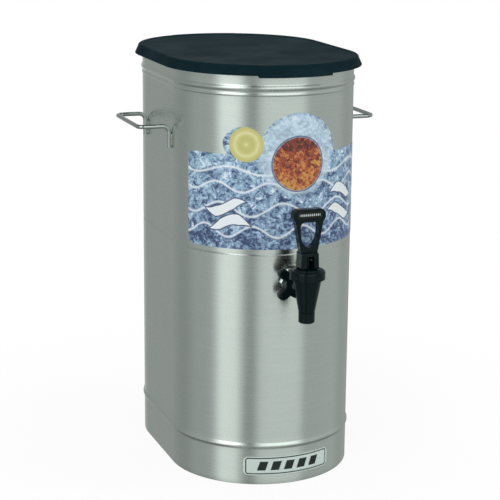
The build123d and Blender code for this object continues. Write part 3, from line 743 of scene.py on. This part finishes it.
class ShellOperator(bpy.types.Operator):
    """Build the upper wrap of the vessel with its beads and rolled rim"""

    bl_idname = "dispenser.shell"
    bl_label = "Upper wrap"

    def execute(self, context):
        sizes = context.scene.dispenser_vessel
        roll = sizes.rim_wire / 2
        rim_x = sizes.wall - sizes.sheet + roll
        rim_z = SHELL_HIGH.z - roll
        meet = acos((rim_x - sizes.wall) / roll)
        top = rim_z - roll * sin(meet)
        beads = [(sizes.upper_bead, sizes.bead_half), (sizes.step_bead, sizes.step_half)]

        def out(z):
            bead = swell(z, sizes.upper_bead, sizes.bead_half, sizes.bead_out)
            return bead + swell(z, sizes.step_bead, sizes.step_half, sizes.step_out)

        heights = levels(SHELL_LOW.z, top, beads)
        outside = [(sizes.wall + out(z), z) for z in heights]
        start = pi + meet
        turns = [start + (3 * pi - start) * step / ROLL_STEPS for step in range(1, ROLL_STEPS + 1)]
        rolled = [(rim_x + roll * cos(turn), rim_z + roll * sin(turn)) for turn in turns]
        inside = [(sizes.wall - sizes.sheet + out(z), z) for z in reversed(heights)]
        profile = outside + rolled + inside
        around = columns(even_turn(TURN_STEPS), SIDE_STEPS)
        slot = "stainless_sheet"
        swept("shell_wrap", lambda column: profile, around, "vessel", slot, ["tank_shell"])
        return {"FINISHED"}


class SkirtOperator(bpy.types.Operator):
    """Build the lower wrap with its bead, hem and the lap behind the upper wrap"""

    bl_idname = "dispenser.skirt"
    bl_label = "Base skirt"

    def execute(self, context):
        sizes = context.scene.dispenser_vessel
        bead = (sizes.lower_bead, sizes.bead_half)
        edge = sizes.hem_round
        inner = sizes.wall - sizes.sheet
        lap_radius = inner - sizes.weld_gap
        lower_edge = SKIRT_HIGH.z - sizes.lap

        def out(z):
            return swell(z, *bead, sizes.bead_out)

        foot = [
            (sizes.wall - edge + edge * sin(turn), edge - edge * cos(turn))
            for turn in (0, pi / 8, pi / 4, 3 * pi / 8)
        ]
        outside = [(sizes.wall + out(z), z) for z in levels(edge, lower_edge, [bead])]
        leave, near, meet = JOGGLE
        lap = [
            (sizes.wall - leave[0], lower_edge + leave[1]),
            (lap_radius + near[0], lower_edge + near[1]),
            (lap_radius + meet[0], lower_edge + meet[1]),
            (lap_radius, SKIRT_HIGH.z),
            (lap_radius - sizes.sheet, SKIRT_HIGH.z),
            (lap_radius - sizes.sheet, lower_edge - sizes.sheet),
        ]
        inside = [
            (inner + out(z), z)
            for z in reversed(levels(sizes.sheet, lower_edge - sizes.sheet, [bead]))
        ]
        hem = [(sizes.wall - sizes.hem, sizes.sheet), (sizes.wall - sizes.hem, 0.0)]
        profile = foot + outside + lap + inside + hem
        around = columns(even_turn(TURN_STEPS), SIDE_STEPS)
        slot = "stainless_sheet"
        wrap = swept("skirt_wrap", lambda column: profile, around, "vessel", slot, ["base_skirt"])
        hole = sizes.shank_hole
        bore = lathed(
            "shank_hole",
            [(0, -HOLE_REACH), (hole, -HOLE_REACH), (hole, HOLE_REACH), (0, HOLE_REACH)],
            Matrix.Translation((0, SKIRT_LOW.y, SHANK_HEIGHT)) @ Matrix.Rotation(pi / 2, 4, "X"),
            HOLE_STEPS,
        )
        cut(wrap, bore)
        return {"FINISHED"}


class LidOperator(bpy.types.Operator):
    """Build the dished lid with its flared skirt, locating rib and two thumb tabs"""

    bl_idname = "dispenser.lid"
    bl_label = "Lid"

    def execute(self, context):
        vessel = context.scene.dispenser_vessel
        sizes = context.scene.dispenser_lid
        edge = vessel.wall + sizes.reach_top
        foot = vessel.wall + sizes.reach_foot
        top = LID_TOP
        low = top - sizes.skirt
        rib = vessel.wall - vessel.sheet - sizes.rib_gap
        rib_foot = sizes.seat - sizes.rib_depth
        dish = edge - sizes.dish_inset
        turns = [pi / 2 * step / SHOULDER_STEPS for step in range(SHOULDER_STEPS + 1)]

        def profile_at(column):
            out_x, out_y, _ = column
            turn = abs(atan2(out_x, abs(out_y)))
            tab = min(1.0, max(0.0, (sizes.tab_angle - turn) / sizes.tab_edge + 0.5))
            proud, drop = tab * sizes.tab_proud, tab * sizes.tab_drop
            face = edge + proud
            shoulder = sizes.shoulder
            made = [(0.0, top - sizes.dish_depth), (dish / 2, top - sizes.dish_depth)]
            made += [
                (dish + DISH_RUN * share, top - sizes.dish_depth * (1 + cos(pi * share)) / 2)
                for share in [step / DISH_STEPS for step in range(DISH_STEPS + 1)]
            ]
            made += [
                (face - shoulder + shoulder * sin(turn), top - shoulder + shoulder * cos(turn))
                for turn in turns
            ]
            made += [
                (foot + proud - LIP + LIP * cos(turn), low - drop + LIP - LIP * sin(turn))
                for turn in (0, pi / 4, pi / 2)
            ]
            made += [
                (foot - sizes.wall + LIP, low - drop),
                (foot - sizes.wall, low - drop + LIP),
                (edge - sizes.wall, sizes.seat),
                (rib, sizes.seat),
                (rib, rib_foot),
                (rib - sizes.wall, rib_foot),
                (rib - sizes.wall, sizes.seat),
                (0.0, sizes.seat),
            ]
            return made

        near = [sizes.tab_angle + sizes.tab_edge * share for share in (-0.5, -0.25, 0, 0.25, 0.5)]
        angles = sorted(even_turn(TURN_STEPS) + near + [-turn for turn in near])
        around = columns(angles, SIDE_STEPS)
        swept("lid_moulding", profile_at, around, "lid", "lid_plastic", ["lid"], closed=False)
        return {"FINISHED"}


class GripsOperator(bpy.types.Operator):
    """Build the two wire handles and the weld beads beside their legs"""

    bl_idname = "dispenser.grips"
    bl_label = "Handles"

    def execute(self, context):
        sizes = context.scene.dispenser_grips
        wire = sizes.wire / 2
        half = sizes.spacing / 2
        rises = [step * sizes.leg * WELD_SHARE / WELD_STEPS for step in range(WELD_STEPS + 1)]
        for side, name in ((-1, "handle_left"), (1, "handle_right")):
            low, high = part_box(name)
            hand = name.removeprefix("handle_")
            wall_x = high.x if side < 0 else low.x
            foot_x = wall_x + side * wire
            bar_x = low.x + wire if side < 0 else high.x - wire
            level = high.z - wire
            foot = level - sizes.leg
            corners = [
                Vector((foot_x, -half, foot)),
                Vector((foot_x, -half, level)),
                Vector((bar_x, -half, level)),
                Vector((bar_x, half, level)),
                Vector((foot_x, half, level)),
                Vector((foot_x, half, foot)),
            ]
            tube(f"grip_{hand}", rounded(corners, sizes.bend), wire, "vessel", "steel_wire", [name])
            for end, corner_y in (("front", -half), ("rear", half)):
                for flank in (-1, 1):
                    bead_y = corner_y + flank * (wire - sizes.weld / 4)
                    bead = [Vector((wall_x, bead_y, foot + rise)) for rise in rises]
                    edge = "near" if flank * corner_y < 0 else "far"
                    tube(
                        f"weld_{hand}_{end}_{edge}",
                        bead,
                        sizes.weld / 2,
                        "vessel",
                        "weld",
                        sides=WELD_SIDES,
                        waist=weld_waist,
                    )
        return {"FINISHED"}


class FinishOperator(bpy.types.Operator):
    """Give the construction pieces that are shown as they are their finish"""

    bl_idname = "dispenser.finish_pieces"
    bl_label = "Finish the plain pieces"

    def execute(self, context):
        finish_nodes(*(name for name, target in frame["nodes"].items() if not target.hide_render))
        return {"FINISHED"}


class StageOperator(bpy.types.Operator):
    """Set up the floor, the studio light and the camera"""

    bl_idname = "dispenser.stage"
    bl_label = "Stage"

    def execute(self, context):
        add_floor()
        add_world(context.scene)
        add_lamps(context.scene)
        add_camera(context.scene, context.scene.dispenser_stage)
        context.scene.view_settings.view_transform = "Standard"
        return {"FINISHED"}


def lathed(name, outline, matrix, steps):
    """A plain solid of revolution about its own Z axis, from (radius, height) points."""
    work = bmesh.new()
    rings = []
    for step in range(steps):
        turn = tau * step / steps
        rings.append([work.verts.new((r * cos(turn), r * sin(turn), z)) for r, z in outline])
    for i, ring in enumerate(rings):
        following = rings[(i + 1) % steps]
        for k in range(len(outline) - 1):
            work.faces.new((ring[k], following[k], following[k + 1], ring[k + 1]))
    bmesh.ops.remove_doubles(work, verts=work.verts, dist=MERGE)
    bmesh.ops.dissolve_degenerate(work, edges=work.edges, dist=NO_LENGTH)
    bmesh.ops.recalc_face_normals(work, faces=work.faces)
    work.transform(matrix)
    data = bpy.data.meshes.new(name)
    work.to_mesh(data)
    work.free()
    made = bpy.data.objects.new(name, data)
    bpy.context.scene.collection.objects.link(made)
    return made


def apply_modifiers(target):
    """Turns a piece's modifiers into its mesh."""
    shown = bpy.context.evaluated_depsgraph_get()
    baked = bpy.data.meshes.new_from_object(target.evaluated_get(shown))
    target.modifiers.clear()
    target.data = baked


def cut(target, tool):
    """Cuts a tool out of a piece and removes the tool."""
    knife = target.modifiers.new("cut", "BOOLEAN")
    knife.operation = "DIFFERENCE"
    knife.solver = "EXACT"
    knife.object = tool
    apply_modifiers(target)
    bpy.data.objects.remove(tool)
    target.data.shade_smooth()
    target.data.set_sharp_from_angle(angle=SHARP)


def rounded(corners, radius, steps=BEND_STEPS):
    """A path through corner points with each corner turned on an arc."""
    path = [corners[0]]
    for before, corner, after in zip(corners, corners[1:], corners[2:]):
        into, onward = (before - corner).normalized(), (after - corner).normalized()
        half = into.angle(onward) / 2
        reach = radius / tan(half)
        centre = corner + (into + onward).normalized() * (radius / sin(half))
        start = corner + into * reach - centre
        end = corner + onward * reach - centre
        sweep = start.angle(end)
        for step in range(steps + 1):
            share = step / steps
            point = (start * sin((1 - share) * sweep) + end * sin(share * sweep)) / sin(sweep)
            path.append(centre + point)
    path.append(corners[-1])
    return path


def tube(name, path, radius, body, slot, replaces=(), sides=WIRE_SIDES, waist=None):
    """A round wire along a path; waist gives its share of the radius along its length."""
    verts, faces = [], []
    across = Vector((0, 1, 0))
    count = len(path)
    for i, point in enumerate(path):
        along = (path[min(i + 1, count - 1)] - path[max(i - 1, 0)]).normalized()
        across = (across - along * across.dot(along)).normalized()
        up = along.cross(across)
        reach = radius * waist(i / (count - 1)) if waist else radius
        for k in range(sides):
            turn = tau * k / sides
            verts.append(point + (across * cos(turn) + up * sin(turn)) * reach)
    for i in range(count - 1):
        for k in range(sides):
            m = (k + 1) % sides
            faces.append((i * sides + k, i * sides + m, (i + 1) * sides + m, (i + 1) * sides + k))
    faces.append(tuple(range(sides)))
    faces.append(tuple((count - 1) * sides + k for k in range(sides)))
    return piece(name, verts, faces, body, slot, replaces, sharp=SHARP_WIRE)


def weld_waist(share):
    """How thick a weld bead is along its length: drawn to a point at its ends, in ripples."""
    ripple = WELD_WAIST + (1 - WELD_WAIST) * abs(sin(WELD_RIPPLES * pi * share))
    return max(WELD_POINT, (1 - abs(2 * share - 1) ** 6) * ripple)


def add_floor():
    """A wide pale floor that keeps the shadow and fades to white in the camera's eyes."""
    work = bmesh.new()
    bmesh.ops.create_circle(work, cap_ends=True, radius=FLOOR_RADIUS, segments=FLOOR_SIDES)
    data = bpy.data.meshes.new("floor")
    work.to_mesh(data)
    work.free()
    ground = bpy.data.objects.new("floor", data)
    bpy.context.scene.collection.objects.link(ground)
    ground.location.z = -FLOOR_GAP
    ground.visible_glossy = False
    paint = bpy.data.materials.new("matt_white_floor")
    put = emptied(paint)
    away = put("VectorMath", {0: put("TexCoord").outputs["Object"]}, operation="LENGTH")
    near, far = FLOOR_FADE
    run = {"From Min": near, "From Max": far, "To Min": FLOOR_GLOW, "To Max": 1.0}
    run["Value"] = away.outputs["Value"]
    fade = put("MapRange", run, interpolation_type="SMOOTHSTEP")
    seen = put("LightPath").outputs["Is Camera Ray"]
    share = put("Math", {0: fade, 1: seen}, operation="MULTIPLY")
    matt = put("BsdfDiffuse", {"Color": linear("#F6F7F6")})
    glow = put("Emission", {"Color": (1, 1, 1, 1), "Strength": 1.0})
    put("OutputMaterial", {"Surface": put("MixShader", {0: share, 1: matt, 2: glow})})
    data.materials.append(paint)


def add_world(scene):
    """Soft panels painted on the world, seen by metal and gloss, and white for the camera."""
    world = bpy.data.worlds.new("studio")
    scene.world = world
    put = emptied(world)
    axes = put("SeparateXYZ", {"Vector": put("TexCoord").outputs["Generated"]})
    ahead = put("Math", {0: axes.outputs["Y"], 1: -1.0}, operation="MULTIPLY")
    turn = put("Math", {0: axes.outputs["X"], 1: ahead}, operation="ARCTAN2")
    # Each panel changes above the horizon and all of them fade high up; the walls fade towards
    # the ceiling, and the dim low part gives wires, beads and the seam their dark under edge
    changes = []
    panel_rises = ((*PANEL_RISE, rise) for *_, rise in PANELS)
    for start, end, first, last in (*panel_rises, HIGH_PANELS, WALLS, LOW_PART):
        run = {"From Min": start, "From Max": end, "To Min": first, "To Max": last}
        run["Value"] = axes.outputs["Z"]
        changes.append(put("MapRange", run, interpolation_type="SMOOTHSTEP"))
    *rises, high, walls, low = changes
    panels = 0.0
    for (middle, half, soft, gain, _), risen in zip(PANELS, rises):
        beside = put("Math", {0: turn, 1: radians(middle)}, operation="SUBTRACT")
        # The shorter way round to a panel's middle, so that a panel may lie across the rear
        beside = put("Math", {0: beside, 1: pi, 2: -pi}, operation="WRAP")
        edges = (radians(half - soft), radians(half + soft))
        panel = band(put, beside, 0.0, *edges, gain, interpolation_type="SMOOTHSTEP")
        panels = put("Math", {0: panel, 1: risen, 2: panels}, operation="MULTIPLY_ADD")
    mirrored = put("Math", {0: panels, 1: high, 2: walls}, operation="MULTIPLY_ADD")
    mirrored = put("Math", {0: mirrored, 1: low}, operation="MULTIPLY")
    rays = put("LightPath")
    glossy = rays.outputs["Is Glossy Ray"]
    clear = {0: rays.outputs["Is Camera Ray"], 1: rays.outputs["Is Transmission Ray"]}
    clear = put("Math", clear, operation="MAXIMUM")
    shown = put("Mix", {"Factor": glossy, "A": FILL_LIGHT, "B": mirrored})
    shown = put("Mix", {"Factor": clear, "A": shown, "B": 1.0})
    tint = {"Factor": glossy, "A": (1, 1, 1, 1), "B": linear(STUDIO_TINT)}
    tint = put("Mix", tint, data_type="RGBA")
    put("OutputWorld", {"Surface": put("Background", {"Color": tint, "Strength": shown})})


def add_lamps(scene):
    """Three soft lamps, which light the object and aren't mirrored."""
    for name, power, wide, tall, place, aim in LAMPS:
        lamp = bpy.data.lights.new(name, "AREA")
        lamp.shape = "RECTANGLE"
        lamp.size, lamp.size_y = wide, tall
        lamp.energy = power
        holder = bpy.data.objects.new(name, lamp)
        scene.collection.objects.link(holder)
        holder.location = place
        holder.rotation_mode = "QUATERNION"
        holder.rotation_quaternion = (Vector(aim) - Vector(place)).to_track_quat("-Z", "Y")
        holder.visible_glossy = False


def add_camera(scene, stage):
    """The camera, set up from its place, aim and roll."""
    data = bpy.data.cameras.new("camera")
    data.sensor_width = SENSOR_WIDTH
    data.lens = stage.lens
    holder = bpy.data.objects.new("camera", data)
    scene.collection.objects.link(holder)
    azimuth = stage.azimuth
    holder.location = (-stage.distance * sin(azimuth), -stage.distance * cos(azimuth), stage.height)
    heading = azimuth + stage.yaw
    aim = Vector(
        (sin(heading) * cos(stage.pitch), cos(heading) * cos(stage.pitch), -sin(stage.pitch))
    )
    level = Vector((cos(heading), -sin(heading), 0.0))
    upright = level.cross(aim)
    right = level * cos(stage.roll) + upright * sin(stage.roll)
    up = upright * cos(stage.roll) - level * sin(stage.roll)
    axes = Matrix((right, up, -aim)).transposed()
    holder.rotation_mode = "QUATERNION"
    holder.rotation_quaternion = axes.to_quaternion()
    scene.camera = holder


class DispenserPanel(bpy.types.Panel):
    """Lists the steps that build the dispenser"""

    bl_idname = "VIEW3D_PT_dispenser"
    bl_label = "Dispenser"
    bl_space_type = "VIEW_3D"
    bl_region_type = "UI"
    bl_category = "Dispenser"

    def draw(self, context):
        for step in STEPS:
            self.layout.operator(step.bl_idname)
        for group in GROUPS:
            settings = getattr(context.scene, group)
            box = self.layout.box()
            for name in settings.bl_rna.properties.keys():
                if name not in ("name", "rna_type"):
                    box.prop(settings, name)


STEPS = (ShellOperator, SkirtOperator, LidOperator, GripsOperator, FinishOperator, StageOperator)
GROUPS = {
    "dispenser_vessel": VesselSizes,
    "dispenser_lid": LidSizes,
    "dispenser_grips": GripSizes,
    "dispenser_finishes": Finishes,
    "dispenser_stage": StageSettings,
}


def register():
    for group in (*GROUPS.values(), *STEPS, DispenserPanel):
        bpy.utils.register_class(group)
    for name, group in GROUPS.items():
        setattr(bpy.types.Scene, name, PointerProperty(type=group))


def unregister():
    for name in GROUPS:
        delattr(bpy.types.Scene, name)
    for group in reversed((*GROUPS.values(), *STEPS, DispenserPanel)):
        bpy.utils.unregister_class(group)


def main():
    """Registers the add-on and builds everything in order."""
    register()
    for step in STEPS:
        family, action = step.bl_idname.split(".")
        getattr(getattr(bpy.ops, family), action)()


if __name__ == "__main__":
    main()
